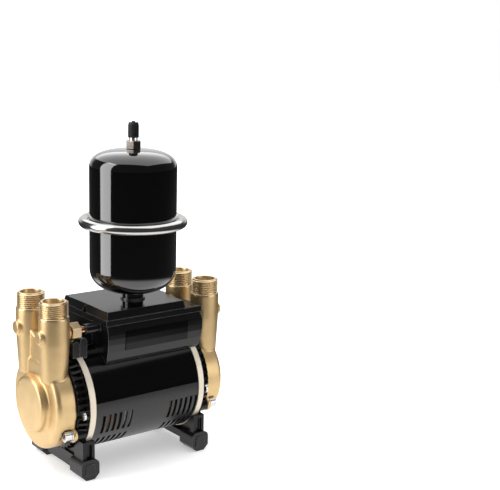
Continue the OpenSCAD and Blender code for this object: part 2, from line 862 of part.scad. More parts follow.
module float_stops() {
    color("silver") both_ends() translate([tower_x, -tower_y, stop_z]) difference() {
        cylinder(h = stop_h, r = port_bore_r - fit / 2);
        translate([0, 0, -over]) cylinder(h = stop_h + 2 * over, r = port_bore_r - stop_t);
    }
}

// Weighted float that the flow lifts in a front tower, with a blind hole
module flow_float() {
    color("white") translate([tower_x, -tower_y, axis_z + float_seat + gap]) difference() {
        cylinder(h = float_h, r = float_r);
        translate([0, 0, float_h / 2]) cylinder(h = float_h, r = float_r / 2);
    }
}

// Link pipe and the tee under the vessel
module link_nut() {
    color("khaki") difference() {
        translate([-link_boss_x + fit, -tower_y, link_z]) rotate([0, 90, 0])
            cylinder(h = link_nut_l, r = link_nut_flats / sqrt(3), $fn = 6);
        translate([-link_boss_x - over, -tower_y, link_z]) rotate([0, 90, 0])
            cylinder(h = link_nut_l + 3 * over, r = link_pipe_r + fit);
    }
}

module link_pipe() {
    color("peru") difference() {
        translate([-link_boss_x - link_spigot_l, -tower_y, link_z]) rotate([0, 90, 0])
            cylinder(h = link_boss_x + link_spigot_l + tee_left + link_spigot_l, r = link_pipe_r);
        translate([-link_boss_x - link_spigot_l - over, -tower_y, link_z]) rotate([0, 90, 0])
            cylinder(h = link_boss_x + 3 * link_spigot_l, r = link_pipe_r - over);
    }
}

module vessel_tee() {
    tee_top_z = plate_top_z - plate_skin - gap;
    color("darkgoldenrod") difference() {
        union() {
            translate([tee_left, -tower_y, link_z]) rotate([0, 90, 0])
                cylinder(h = tee_right - tee_left, r = tee_r);
            translate([0, vessel_y, link_z - tee_r])
                cylinder(h = tee_top_z - link_z + tee_r, r = tee_boss_r);
        }
        translate([0, vessel_y, link_z]) cylinder(h = tee_top_z, r = neck_thread_r + fit / 2);
        translate([tee_left - over, -tower_y, link_z]) rotate([0, 90, 0])
            cylinder(h = -tee_left + over, r = link_pipe_r + fit / 2);
        translate([0, -tower_y, link_z]) rotate([0, 90, 0])
            cylinder(h = tee_right + over, r = switch_stem_r + fit / 2);
    }
}

module pressure_switch() {
    x1 = tee_right + switch_stem_l / 2;
    color("slategray") {
        translate([neck_thread_r + gap, -tower_y, link_z]) rotate([0, 90, 0])
            cylinder(h = x1 + over - neck_thread_r - gap, r = switch_stem_r);
        translate([x1, -tower_y - switch_w / 2, link_z - switch_h / 2 - over])
            cube([switch_l, switch_w, switch_h]);
        translate([x1 + switch_l, -tower_y, link_z - over]) rotate([0, 90, 0])
            cylinder(h = switch_plug_l, r = switch_plug_r);
    }
}

// Terminal box: the side's curve gives both the bulging front and back and the bulging right end
function side_curve(start) =
    [for (s = side_shares) [start + box_bulge * s[1], box_edge_z + box_side_h * s[0]]];

function reversed(points) = [for (i = [len(points) - 1 : -1 : 0]) points[i]];

function flipped(points) = [for (p = reversed(points)) [-p[0], p[1]]];

module box_shell() {
    intersection() {
        translate([box_left, 0, 0]) rotate([90, 0, 90]) linear_extrude(2 * box_right)
            polygon(concat(side_curve(box_half), flipped(side_curve(box_half))));
        translate([0, 2 * box_half, 0]) rotate([90, 0, 0]) linear_extrude(4 * box_half)
            polygon(concat(side_curve(box_right - box_bulge / 4),
                           [[box_left, box_rim_z], [box_left, box_edge_z]]));
    }
}

// A post from the cowl up, its right edge at x and its round top at height z
module box_post(x, z) {
    r = post_w / 2;
    translate([x, -post_front + post_d, 0]) rotate([90, 0, 0]) linear_extrude(post_d)
        polygon(concat([[0, axis_z]], arc(-r, z - r, r, 0, 90), arc(-r, z - r, r, 90, 180),
                       [[-post_w, axis_z]]));
}

module box_base() {
    inner_left = box_left + box_wall;
    inner_right = box_right - box_wall;
    inner_half = box_half - box_wall;
    color("black") difference() {
        union() {
            box_shell();
            translate([shelf_left, -shelf_front, axis_z])
                cube([box_left - shelf_left + over, shelf_front + shelf_half, shelf_z - axis_z]);
            box_post(post_x, post_z);
            box_post(post_x + post_gap + post_w, post_z + post_step_h);
            translate([post_x - post_w, -post_front + post_gap, axis_z])
                cube([2 * post_w + post_gap, post_front, post_z - post_w - axis_z]);
            translate([sleeve_x, -tower_y, link_z]) rotate([0, 90, 0])
                cylinder(h = box_left - sleeve_x + over, r = sleeve_r);
        }
        difference() {
            translate([inner_left, -inner_half, box_floor_z])
                cube([inner_right - inner_left, 2 * inner_half, box_side_h]);
            for (p = pillar_places())
                translate([p[0], p[1], box_edge_z]) cylinder(h = box_side_h, r = pillar_r);
        }
        bar_x(-head_x, box_right + box_side_h, saddle_r);
        bar_x(-head_x, -strap_saddle_x, strap_saddle_r);
        bar_x(strap_saddle_x, box_right + box_side_h, strap_saddle_r);
        translate([wire_x, wire_y, axis_z]) cylinder(h = 2 * cowl_r, r = wire_r + fit);
        translate([box_left - over, -tower_y - link_pipe_r - fit, link_z])
            cube([box_wall + 2 * over, 2 * (link_pipe_r + fit), box_side_h]);
        translate([sleeve_x - over, -tower_y, link_z]) rotate([0, 90, 0])
            cylinder(h = box_left - sleeve_x + box_wall + 2 * over, r = link_pipe_r + fit);
        for (p = pillar_places()) translate([p[0], p[1], box_rim_z - lid_screw_l + lid_t])
            cylinder(h = lid_screw_l, r = lid_screw_r + fit / 2);
        translate([gland_x, inner_half - over, gland_z]) rotate([-90, 0, 0])
            cylinder(h = box_half, r = gland_r + fit);
        translate([gland_x - gland_well_l / 2, inner_half - gland_well_w, gland_z - gland_well_l / 2 + over])
            cube([gland_well_l, gland_well_w, gland_well_l / 2]);
    }
}

function pillar_places() = [[box_left + lid_screw_in, 0], [box_right - lid_screw_in - over, tower_y]];

module box_lid() {
    x0 = box_left - lid_lip;
    x1 = box_right + lid_lip;
    half = box_half + lid_lip;
    chamfer = lid_lip;
    color("black") difference() {
        intersection() {
            translate([x0, 0, 0]) rotate([90, 0, 90]) linear_extrude(x1 - x0)
                polygon([[-half, lid_z + fit], [half, lid_z + fit], [half, lid_top_z - chamfer],
                    [half - chamfer, lid_top_z], [-half + chamfer, lid_top_z],
                    [-half, lid_top_z - chamfer]]);
            translate([0, half, 0]) rotate([90, 0, 0]) linear_extrude(2 * half)
                polygon([[x0, lid_z + fit], [x1, lid_z + fit], [x1, lid_top_z - chamfer],
                    [x1 - chamfer, lid_top_z], [x0 + chamfer, lid_top_z], [x0, lid_top_z - chamfer]]);
        }
        difference() {
            translate([box_left + box_wall, -box_half + box_wall, lid_z])
                cube([box_right - box_left - 2 * box_wall, 2 * (box_half - box_wall), lid_t - lid_skin]);
            for (p = pillar_places()) translate([p[0], p[1], lid_z]) cylinder(h = lid_t, r = pillar_r);
        }
        translate([0, vessel_y, lid_z]) cylinder(h = lid_t + over, r = tee_boss_r + gap);
        for (p = pillar_places())
            translate([p[0], p[1], lid_z]) cylinder(h = lid_t + over, r = lid_screw_r + fit);
        for (p = pillar_places()) translate([p[0], p[1], lid_top_z - lid_skin / 2])
            cylinder(h = lid_t, r = lid_screw_head_r + fit);
    }
}

// Raised plate with bevelled edges that the vessel stands on
module plate_block(l, half, z0, z1, bevel) {
    x0 = plate_mid_x - l / 2;
    x1 = plate_mid_x + l / 2;
    intersection() {
        translate([0, half + bevel, 0]) rotate([90, 0, 0]) linear_extrude(2 * (half + bevel))
            polygon([[x0 - bevel, z0], [x1 + bevel, z0], [x1, z1], [x0, z1]]);
        translate([x0 - bevel, 0, 0]) rotate([90, 0, 90]) linear_extrude(l + 2 * bevel)
            polygon([[-half - bevel, z0], [half + bevel, z0], [half, z1], [-half, z1]]);
    }
}

module vessel_plate() {
    color("black") difference() {
        plate_block(plate_l, plate_half, plate_z, plate_top_z, plate_bevel);
        translate([plate_mid_x - plate_l / 2 + plate_skin, -plate_half + plate_skin, plate_z - over])
            cube([plate_l - 2 * plate_skin, 2 * (plate_half - plate_skin), plate_t - plate_skin + over]);
        plate_notch();
        translate([0, vessel_y, plate_z]) cylinder(h = plate_t + over, r = neck_thread_r + gap);
    }
}

// The shallow three-cornered notch in the plate's left side, its point at the top edge
module plate_notch() {
    translate([plate_mid_x - plate_l / 2 - plate_bevel - over, 0, 0]) rotate([90, 0, 90])
        linear_extrude(plate_bevel + 2 * over)
            polygon([[-notch_half, plate_z - over], [notch_half, plate_z - over], [0, plate_top_z - gap]]);
}

module lid_screws() {
    head_h = lid_skin / 2 - fit;
    color("silver") for (p = pillar_places())
        translate([p[0], p[1], lid_top_z - lid_skin / 2 + fit]) difference() {
            union() {
                cylinder(h = head_h, r = lid_screw_head_r);
                translate([0, 0, -lid_screw_l + lid_t])
                    cylinder(h = lid_screw_l - lid_t + fit, r = lid_screw_r);
            }
            translate([0, 0, head_h / 2]) cylinder(h = lid_t, r = lid_screw_r * 0.6, $fn = 6);
        }
}

// Bare panel that follows the middle stretch of the front's curve
module name_panel() {
    curve = [for (s = side_shares) if (s[0] >= panel_low_share && s[0] <= panel_high_share)
        [box_half + box_bulge * s[1], box_edge_z + box_side_h * s[0]]];
    color("dimgray") mirror([0, 1, 0]) translate([panel_left, 0, 0]) rotate([90, 0, 90])
        linear_extrude(panel_right - panel_left)
            polygon(concat([for (p = curve) [p[0] + panel_stand, p[1]]],
                           [for (p = reversed(curve)) [p[0] + fit / 2, p[1]]]));
}

module circuit_board() {
    color("darkgreen") translate([board_x, board_y, box_floor_z + board_lift]) {
        cube([board_l, board_d, board_t]);
        translate([board_t, board_d - relay_d - board_in, board_t - fit]) cube([relay_l, relay_d, relay_h]);
        translate([board_in, board_t, board_t - fit]) cube([block_l, block_d, block_h]);
        translate([board_l - 2 * coil_r, board_d / 2, board_t - fit]) cylinder(h = coil_h, r = coil_r);
        for (x = [board_post_in, board_l - board_post_in], y = [board_post_in, board_d - board_post_in])
            translate([x, y, -board_lift]) cylinder(h = board_lift + fit, r = board_post_r);
    }
}

module run_capacitor() {
    color("white") translate([cap_body_x, cap_body_y, box_floor_z + cap_body_r + fit]) rotate([0, 90, 0]) {
        cylinder(h = cap_body_l, r = cap_body_r);
        for (y = [-cap_tag_y, cap_tag_y])
            translate([-cap_tag_w / 2, y, cap_body_l - fit]) cube([cap_tag_w, cap_tag_t, cap_tag_l]);
    }
}

module cable_gland() {
    wall_y = box_half - box_wall;
    face_y = box_half + box_bulge + fit;
    color("black") translate([gland_x, 0, gland_z]) rotate([-90, 0, 0]) difference() {
        union() {
            translate([0, 0, wall_y - 4]) cylinder(h = face_y - wall_y + 4, r = gland_r);
            translate([0, 0, wall_y - 4]) cylinder(h = 4 - fit, r = gland_flats / sqrt(3), $fn = 6);
            translate([0, 0, face_y]) cylinder(h = gland_l * 0.4, r = gland_flats / sqrt(3), $fn = 6);
            translate([0, 0, face_y + gland_l * 0.4])
                cylinder(h = gland_l * 0.35, r = gland_flats / 2 - over);
            translate([0, 0, face_y + gland_l * 0.75])
                cylinder(h = gland_l * 0.25, r1 = gland_flats / 2 - over, r2 = gland_bore_r + 2);
        }
        translate([0, 0, wall_y - 4 - over]) cylinder(h = 4 * gland_l, r = gland_bore_r);
    }
}

module lead_grommet() {
    z0 = axis_z + sqrt(cowl_in_r * cowl_in_r - (wire_y + wire_r) * (wire_y + wire_r)) - over;
    color("black") translate([wire_x, wire_y, 0]) difference() {
        union() {
            translate([0, 0, z0]) cylinder(h = box_floor_z - z0 + wire_lip_t, r = wire_r);
            translate([0, 0, box_floor_z + fit]) cylinder(h = wire_lip_t, r = wire_lip_r);
        }
        translate([0, 0, z0 - over]) cylinder(h = cowl_r, r = wire_bore_r);
    }
}

// Pressure vessel: two steel halves whose flanges meet in the clamp ring, with a rubber
// diaphragm between them
module about_vessel(outline) {
    translate([0, vessel_y, 0]) rotate_extrude() polygon(outline);
}

module vessel_lower() {
    bore_z = vessel_z + over;
    inner_r = vessel_r - vessel_wall;
    split = vessel_mid_z - fit / 2;
    outer = dome(vessel_r, low_dome_h, vessel_z + low_dome_h, -1, low_dome_power);
    inner = dome(inner_r, low_dome_h - vessel_wall, vessel_z + low_dome_h, -1, low_dome_power);
    color("black") difference() {
        union() {
            about_vessel(concat(outer, [[vessel_r, split - flange_t], [flange_r, split - flange_t],
                [flange_r, split], [inner_r, split]], reversed(inner)));
            translate([0, vessel_y, plate_top_z + fit]) cylinder(h = neck_h + vessel_wall, r = neck_r);
            translate([0, vessel_y, link_z + tee_r / 2])
                cylinder(h = plate_top_z - link_z, r = neck_thread_r);
        }
        translate([0, vessel_y, axis_z]) cylinder(h = vessel_z + 2 * vessel_wall - axis_z, r = neck_bore_r);
    }
}

module vessel_upper() {
    inner_r = vessel_r - vessel_wall;
    split = vessel_mid_z + fit / 2;
    outer = dome(vessel_r, dome_h, vessel_top_z - dome_h, 1);
    inner = dome(inner_r, dome_h - vessel_wall, vessel_top_z - dome_h, 1);
    color("black") difference() {
        about_vessel(concat(outer, [[vessel_r, split + flange_t], [flange_r, split + flange_t],
            [flange_r, split], [inner_r, split]], reversed(inner)));
        translate([0, vessel_y, vessel_mid_z]) cylinder(h = vessel_h, r = valve_r + fit / 2);
    }
}

// The diaphragm hangs as a deep cup in the lower half, its bead against the seam
module vessel_diaphragm() {
    r1 = vessel_r - vessel_wall - gap;
    r0 = r1 - diaphragm_t;
    bead_z = vessel_mid_z + diaphragm_t;
    cup_z = vessel_z + dome_h + vessel_h / 5;
    color("dimgray") about_vessel(concat(dome(r1, dome_h, cup_z, -1), [[r1, bead_z], [r0, bead_z]],
        reversed(dome(r0, dome_h - diaphragm_t, cup_z, -1))));
}

module clamp_ring() {
    half_slot = flange_t + fit;
    color("silver") difference() {
        translate([0, vessel_y, vessel_mid_z]) rotate_extrude()
            translate([ring_mid_r, 0]) circle(r = ring_section_r);
        about_vessel([[vessel_r - over, vessel_mid_z - half_slot],
            [flange_r + fit, vessel_mid_z - half_slot], [flange_r + fit, vessel_mid_z + half_slot],
            [vessel_r - over, vessel_mid_z + half_slot]]);
        translate([0, vessel_y, vessel_mid_z - vessel_h / 4])
            cylinder(h = vessel_h / 2, r = vessel_r + gap);
    }
}

module neck_clip() {
    z0 = plate_top_z + neck_h / 3;
    color("silver") translate([0, vessel_y, z0]) {
        difference() {
            cylinder(h = clip_h, r = clip_r);
            translate([0, 0, -over]) cylinder(h = clip_h + 2 * over, r = neck_r + fit / 2);
        }
        for (side = [-1, 1]) translate([side * (clip_r - fit), 0, clip_h / 2]) sphere(r = clip_h * 0.45);
    }
}

// Air valve on the crown
module valve_nut() {
    color("silver") translate([0, vessel_y, vessel_top_z + fit]) difference() {
        cylinder(h = valve_nut_h, r = valve_nut_flats / sqrt(3), $fn = 6);
        translate([0, 0, -over]) cylinder(h = valve_nut_h + 2 * over, r = valve_r + fit / 2);
    }
}

module valve_stem() {
    z0 = vessel_top_z - vessel_wall - 3;
    color("silver") translate([0, vessel_y, z0]) difference() {
        union() {
            cylinder(h = 3 - fit, r = valve_r * 2);
            cylinder(h = valve_stem_h, r = valve_r);
        }
        translate([0, 0, -over]) cylinder(h = valve_stem_h + 2 * over, r = valve_bore_r);
    }
}

module valve_pin() {
    z0 = vessel_top_z - vessel_wall - 3;
    color("gold") translate([0, vessel_y, z0]) {
        translate([0, 0, valve_stem_h / 2]) cylinder(h = valve_stem_h / 2 - over / 2, r = valve_pin_r);
        translate([0, 0, valve_stem_h / 2 - 2]) cylinder(h = 2 + fit, r = valve_bore_r - fit / 2);
    }
}

module valve_cap() {
    z0 = vessel_top_z + valve_nut_h + 3;
    inner_h = cap_h - 2 * cap_wall;
    color("black") translate([0, vessel_y, z0]) difference() {
        union() {
            cylinder(h = cap_h - cap_nub_h, r = cap_r - 0.4);
            for (i = [0 : cap_ribs - 1]) rotate([0, 0, 360 * i / cap_ribs])
                translate([cap_r - 0.9, -0.35, 0]) cube([0.9, 0.7, cap_h - cap_nub_h - 2]);
            cylinder(h = cap_h, r = cap_nub_r);
        }
        translate([0, 0, -over]) cylinder(h = inner_h - cap_nub_h + over, r = valve_r + fit);
    }
}

placed() cowl_upper();
placed() cowl_lower();
placed() left_end() strap();  // strap_left
placed() strap();  // strap_right
placed() left_end() bracket();  // bracket_left
placed() bracket();  // bracket_right
placed() stator_core();
placed() stator_windings();
placed() tie_screws();
placed() left_end() bearing_outer();  // bearing_outer_left
placed() bearing_outer();  // bearing_outer_right
placed() left_end() foot();  // foot_front_left
placed() foot();  // foot_front_right
placed() left_end() mirror([0, 1, 0]) foot();  // foot_back_left
placed() mirror([0, 1, 0]) foot();  // foot_back_right
placed() pump_body_left();
placed() pump_body();  // pump_body_right
placed() left_end() back_plate();  // back_plate_left
placed() back_plate();  // back_plate_right
placed() body_seals();
placed() left_end() seal_seat();  // seal_seat_left
placed() seal_seat();  // seal_seat_right
placed() left_end() pump_screws();  // pump_screws_left
placed() pump_screws();  // pump_screws_right
placed() float_stops();
placed() link_nut();
placed() link_pipe();
placed() vessel_tee();
placed() pressure_switch();
placed() box_base();
placed() box_lid();
placed() vessel_plate();
placed() lid_screws();
placed() name_panel();
placed() circuit_board();
placed() run_capacitor();
placed() cable_gland();
placed() lead_grommet();
placed() vessel_lower();
placed() vessel_upper();
placed() vessel_diaphragm();
placed() clamp_ring();
placed() neck_clip();
placed() valve_nut();
placed() valve_stem();
placed() shaft();
placed() rotor_core();
placed() left_end() impeller();  // impeller_left
placed() impeller();  // impeller_right
placed() impeller_nuts();
placed() left_end() bearing_inner();  // bearing_inner_left
placed() bearing_inner();  // bearing_inner_right
placed() left_end() seal_head();  // seal_head_left
placed() seal_head();  // seal_head_right
placed() left_end() balls();  // balls_left
placed() balls();  // balls_right
placed() left_end() flow_float();  // float_left
placed() flow_float();  // float_right
placed() valve_pin();
placed() valve_cap();
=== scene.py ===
# %% [markdown]
# # A twin-ended shower pump, dressed for its picture
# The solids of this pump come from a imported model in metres: a motor in a plastic cowl, a cast
# brass pump head on each end, a terminal box on top and a small pressure vessel above that.
# This lesson gives each of them its finish, and rebuilds the few pieces that solids alone can't
# show, such as cast fillets and pipe threads. It starts by loading the solids and keeping their box.

# %% Load the solids
import json
import math

import bmesh
import bpy
from mathutils import Matrix, Vector

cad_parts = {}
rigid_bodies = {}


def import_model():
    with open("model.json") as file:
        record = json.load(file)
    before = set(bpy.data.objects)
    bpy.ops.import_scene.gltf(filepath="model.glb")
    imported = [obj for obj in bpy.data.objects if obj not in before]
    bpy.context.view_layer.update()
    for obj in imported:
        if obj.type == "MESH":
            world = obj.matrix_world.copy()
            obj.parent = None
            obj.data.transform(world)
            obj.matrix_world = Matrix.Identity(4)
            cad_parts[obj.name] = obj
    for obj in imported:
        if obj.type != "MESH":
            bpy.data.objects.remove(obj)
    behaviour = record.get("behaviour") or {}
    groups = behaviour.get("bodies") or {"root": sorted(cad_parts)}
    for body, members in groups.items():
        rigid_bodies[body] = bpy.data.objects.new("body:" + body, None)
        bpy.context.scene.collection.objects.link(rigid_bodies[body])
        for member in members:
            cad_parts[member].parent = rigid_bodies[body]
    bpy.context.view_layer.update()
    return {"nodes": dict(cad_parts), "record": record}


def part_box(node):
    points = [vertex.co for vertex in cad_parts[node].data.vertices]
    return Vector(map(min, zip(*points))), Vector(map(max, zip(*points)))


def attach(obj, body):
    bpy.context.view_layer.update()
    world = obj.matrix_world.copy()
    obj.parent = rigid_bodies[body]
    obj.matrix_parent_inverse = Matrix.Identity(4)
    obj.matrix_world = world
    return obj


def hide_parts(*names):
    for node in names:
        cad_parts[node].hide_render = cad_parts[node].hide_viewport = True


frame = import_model()
nodes = frame["nodes"]
shaft_low, shaft_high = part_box("shaft")
shaft_y = (shaft_low.y + shaft_high.y) / 2
mm = 0.001
print("solids", len(nodes), "shaft at y", round(shaft_y, 4))

# %% [markdown]
# ## The camera
# A camera can be placed by eye, or worked out from places that show in a photograph. This one was
# worked out: its position, its turn and tilt, a slight roll and its focal length make the four
# port rims, the straps, the vessel and the feet land where the photograph has them. The long side
# of the picture is 500 dots, so a focal length in dots becomes a lens for the 36 mm sensor.

# %% Camera
sensor_mm = 36
long_side_dots = 500


def aim_camera(place_mm, azimuth, elevation, roll, focal_dots):
    a, e, r = (math.radians(v) for v in (azimuth, elevation, roll))
    back = Vector((math.sin(a) * math.cos(e), -math.cos(a) * math.cos(e), math.sin(e)))
    right = (-back).cross(Vector((0, 0, 1))).normalized()
    up = right.cross(-back)
    right, up = right * math.cos(r) + up * math.sin(r), up * math.cos(r) - right * math.sin(r)
    data = bpy.data.cameras.new("camera")
    data.sensor_width = sensor_mm
    data.lens = sensor_mm * focal_dots / long_side_dots
    data.clip_start, data.clip_end = 0.05, 50
    camera = bpy.data.objects.new("camera", data)
    place = Matrix.Translation(Vector(place_mm) * mm + Vector((0, shaft_y, 0)))
    camera.matrix_world = place @ Matrix((right, up, back)).transposed().to_4x4()
    bpy.context.scene.collection.objects.link(camera)
    return camera


camera = aim_camera(place_mm=(-543.24, -876.74, 420.18), azimuth=-38.661, elevation=11.617,
                    roll=1.48, focal_dots=1095.63)
bpy.context.scene.camera = camera
print("lens", round(camera.data.lens, 2), "mm")

# %% [markdown]
# ## Shader sums as plain Python
# A finish is a small sum: noise times a strength, plus a colour. Building such sums node by node
# is slow to read, so one small class wraps a socket and lets Python's own signs add the nodes.

# %% A socket that can be added and multiplied
class Wire:
    def __init__(self, finish, socket):
        self.finish, self.socket = finish, socket

    def sum(self, operation, a, b=0.0):
        return self.finish.sum(operation, a, b)

    def __add__(self, other):
        return self.sum("ADD", self, other)

    __radd__ = __add__

    def __mul__(self, other):
        return self.sum("MULTIPLY", self, other)

    __rmul__ = __mul__

    def __sub__(self, other):
        return self.sum("SUBTRACT", self, other)

    def __rsub__(self, other):
        return self.sum("SUBTRACT", other, self)

    def above(self, limit, softness):
        """0 well below the limit and 1 well above it"""
        ends = {"Value": self, "From Min": limit - softness, "From Max": limit + softness}
        return self.finish.node("ShaderNodeMapRange", {"interpolation_type": "SMOOTHSTEP"}, ends)


print("a wire takes + - * and above")

# %% [markdown]
# ## A finish
# Every surface here is one standard shader whose colour, roughness and relief drift a little, as
# those of real things do. A class holds that shader while it is built, with one method that adds
# any node from its type, its settings and its sockets, and a few short methods for what all the
# finishes need: a drifting shade, uneven wear, a fine skin, and a painted highlight on edges. Real
# black mouldings show a pale line there, since a narrow round mirrors the room; here a rounded
# normal finds the edges and their base colour is painted pale.

# %% A finish is a material under way
def grey(level):
    return (level, level, level, 1)


class Finish:
    def __init__(self, name, colour, roughness=0.5, metallic=0.0, **plain):
        self.material = bpy.data.materials.new(name)
        self.material.use_nodes = True
        self.tree = self.material.node_tree
        self.shader = self.tree.nodes["Principled BSDF"]
        self.colour, self.rough = colour, roughness
        self.set("Base Color", (*colour, 1))
        self.set("Roughness", roughness)
        self.set("Metallic", metallic)
        for socket, value in plain.items():
            self.set(socket.replace("_", " "), value)

    def set(self, socket, value):
        self.put(self.shader.inputs[socket], value)
        return self

    def put(self, target, value):
        if isinstance(value, Wire):
            self.tree.links.new(value.socket, target)
        else:
            target.default_value = value

    def node(self, kind, settings=None, sockets=None, out=0):
        made = self.tree.nodes.new(kind)
        for key, value in (settings or {}).items():
            setattr(made, key, value)
        for key, value in (sockets or {}).items():
            self.put(made.inputs[key], value)
        return Wire(self, made.outputs[out])

    def sum(self, operation, a, b=0.0):
        return self.node("ShaderNodeMath", {"operation": operation}, {0: a, 1: b})

    def dot(self, a, b):
        return self.node("ShaderNodeVectorMath", {"operation": "DOT_PRODUCT"}, {0: a, 1: b}, out="Value")

    def place(self):
        """Object coordinates in metres"""
        return self.node("ShaderNodeTexCoord", out="Object")

    def stretched(self, shares):
        """Object coordinates in which a grain is long where its share is small"""
        return self.node("ShaderNodeVectorMath", {"operation": "MULTIPLY"}, {0: self.place(), 1: shares})

    def noise(self, grain_mm, detail=3.0, where=None):
        return self.node("ShaderNodeTexNoise", None, {"Vector": where or self.place(),
                         "Scale": 1 / (grain_mm * mm), "Detail": detail})

    def mixed(self, share, first, second):
        """A colour that goes from first to second; 6, 7 and output 2 are the Mix node's colours"""
        return self.node("ShaderNodeMix", {"data_type": "RGBA"}, {0: share, 6: first, 7: second}, out=2)

    def shades(self, grain_mm, dark, light, detail=3.0):
        """The base colour drifts between a darker and a lighter shade of itself"""
        low = (*(c * dark for c in self.colour), 1)
        high = (*(min(1, c * light) for c in self.colour), 1)
        self.set("Base Color", self.mixed(self.noise(grain_mm, detail), low, high))
        return self

    def worn(self, grain_mm, spread):
        """The roughness drifts by a spread about its own value"""
        self.set("Roughness", self.noise(grain_mm, 2.0) * (2 * spread) + (self.rough - spread))
        return self

    def painted_edge_highlight(self, width_mm, highlight_grey, turn=0.1, softness=0.08):
        """A painted highlight: the base colour turns pale along edges, where a rounded normal leaves the
        true one
        """
        rounded = self.node("ShaderNodeBevel", {"samples": 4}, {"Radius": width_mm * mm})
        true = self.node("ShaderNodeNewGeometry", out="Normal")
        edge = (1 - self.dot(rounded, true)).above(turn, softness)
        # Painted highlight: the base colour goes to pale grey where the edge share rises.
        self.set("Base Color", self.mixed(edge, (*self.colour, 1), grey(highlight_grey)))
        return self

    def bumps(self, height, depth_mm):
        """A relief of that depth, from a height that runs from 0 to 1"""
        sockets = {"Strength": 1.0, "Distance": depth_mm * mm, "Height": height}
        self.set("Normal", self.node("ShaderNodeBump", None, sockets))
        return self

    def skin(self, grain_mm, detail, depth_mm, shares=None):
        """A relief of noise, stretched into lines where shares are given"""
        where = self.stretched(shares) if shares else None
        return self.bumps(self.noise(grain_mm, detail, where), depth_mm)


print("finish class ready")

# %% [markdown]
# ## Brass, cast and turned
# The pump heads are sand-cast brass that was tumbled smooth: a warm metal with a fine skin, a
# little darker and browner in patches. The nuts and threads were cut on a lathe, so they are
# brighter, with fine rings. Metal takes its look from what it reflects, so the base colour is the
# colour of a mirror made of that metal, and the roughness decides how soft the room appears in it.

# %% Brass finishes
cast_brass = Finish("cast_brass", (0.75, 0.535, 0.27), 0.42, 0.9)
cast_brass.shades(14, 0.8, 1.1, 4.0).worn(5, 0.05)
cast_brass.bumps(cast_brass.noise(0.9, 4.0) * 0.5 + cast_brass.noise(4.5, 2.0) * 0.5, 0.035)

turned_brass = Finish("turned_brass", (0.78, 0.6, 0.36), 0.34, 1.0)
turned_brass.shades(3, 0.95, 1.04).skin(0.35, 2.0, 0.004, (0.1, 0.1, 1.0))

copper = Finish("copper", (0.82, 0.42, 0.26), 0.24, 1.0)
copper.shades(4, 0.75, 1.08).worn(3, 0.06).skin(0.8, 2.0, 0.015, (0.08, 1.0, 1.0))
print("brass finishes", [f.material.name for f in (cast_brass, turned_brass, copper)])

# %% [markdown]
# ## Black plastics and enamel
# Several blacks sit side by side here and differ mostly in their skin. The upper cowl and the
# panel on the box are polished, the lower cowl and the brackets are finely grained, the terminal
# box is satin, the feet are rubber, and the vessel is stove enamel with a faint orange peel. A
# black is never zero: a few thousandths keep its shape in the shade.

# %% Plastic, enamel and rubber finishes
polished_cowl = Finish("polished_cowl", (0.003, 0.003, 0.0032), 0.14, Specular_IOR_Level=0.22)
polished_cowl.worn(18, 0.03).skin(9, 1.0, 0.03)

grained_cowl = Finish("grained_cowl", (0.018, 0.018, 0.019), 0.36, Specular_IOR_Level=0.5)
grained_cowl.shades(2, 0.8, 1.25).skin(0.5, 3.0, 0.05)

satin_box = Finish("satin_box", (0.006, 0.006, 0.0065), 0.22, Specular_IOR_Level=0.5)
# The box's edges get a painted highlight: a pale grey base colour along them.
satin_box.painted_edge_highlight(0.6, 0.28).worn(12, 0.03).skin(0.45, 2.0, 0.006)

bracket_black = Finish("bracket_black", (0.005, 0.005, 0.0055), 0.3, Specular_IOR_Level=0.3)
bracket_black.shades(4, 0.8, 1.3).skin(0.7, 3.0, 0.04)

vessel_enamel = Finish("vessel_enamel", (0.001, 0.001, 0.0011), 0.08, Specular_IOR_Level=0.6,
                       Coat_Weight=1.0, Coat_Roughness=0.05)
vessel_enamel.skin(2.6, 2.0, 0.012)

foot_rubber = Finish("foot_rubber", (0.011, 0.011, 0.012), 0.38, Specular_IOR_Level=0.4)
# The feet's edges get a painted highlight: a pale grey base colour along them.
foot_rubber.painted_edge_highlight(0.7, 0.12).worn(6, 0.08).skin(0.6, 4.0, 0.05)

panel_black = Finish("panel_black", (0.003, 0.003, 0.0035), 0.12, Specular_IOR_Level=0.25)
panel_black.shades(5, 0.95, 1.05).skin(0.35, 2.0, 0.004)
print("black finishes ready")

# %% [markdown]
# ## Steels
# The ring round the vessel is polished, and the two straps are rolled strip whose base colour is
# painted warm, a painted reflection of the brass beside it. The screws and the valve's stem are
# zinc plated, which is greyer and cloudier, the valve's nut is nickel plated, a little warm, and
# the clip below the vessel is dark. Rolled strip shows hair lines along its length, made here
# from noise that is stretched round the shaft.

# %% Steel finishes
ring_steel = Finish("ring_steel", (0.6, 0.59, 0.58), 0.16, 1.0)
ring_steel.worn(9, 0.03).skin(1.5, 2.0, 0.006)

# Painted reflection: the straps' base colour is warmed to stand for the brass they reflect.
strap_steel = Finish("strap_steel", (0.82, 0.73, 0.6), 0.5, 0.5)
strap_steel.shades(6, 0.93, 1.04).skin(0.4, 2.0, 0.012, (1.0, 0.05, 0.05))

zinc = Finish("zinc", (0.74, 0.75, 0.76), 0.3, 1.0)
zinc.shades(1.5, 0.8, 1.1).worn(2, 0.1).skin(0.5, 3.0, 0.02)

ground_steel = Finish("ground_steel", (0.64, 0.65, 0.67), 0.22, 1.0)
ground_steel.shades(4, 0.9, 1.08).skin(0.3, 2.0, 0.01, (1.0, 0.1, 0.1))

clip_steel = Finish("clip_steel", (0.16, 0.16, 0.17), 0.3, 1.0)
clip_steel.shades(2, 0.8, 1.2).skin(0.5, 2.0, 0.01)

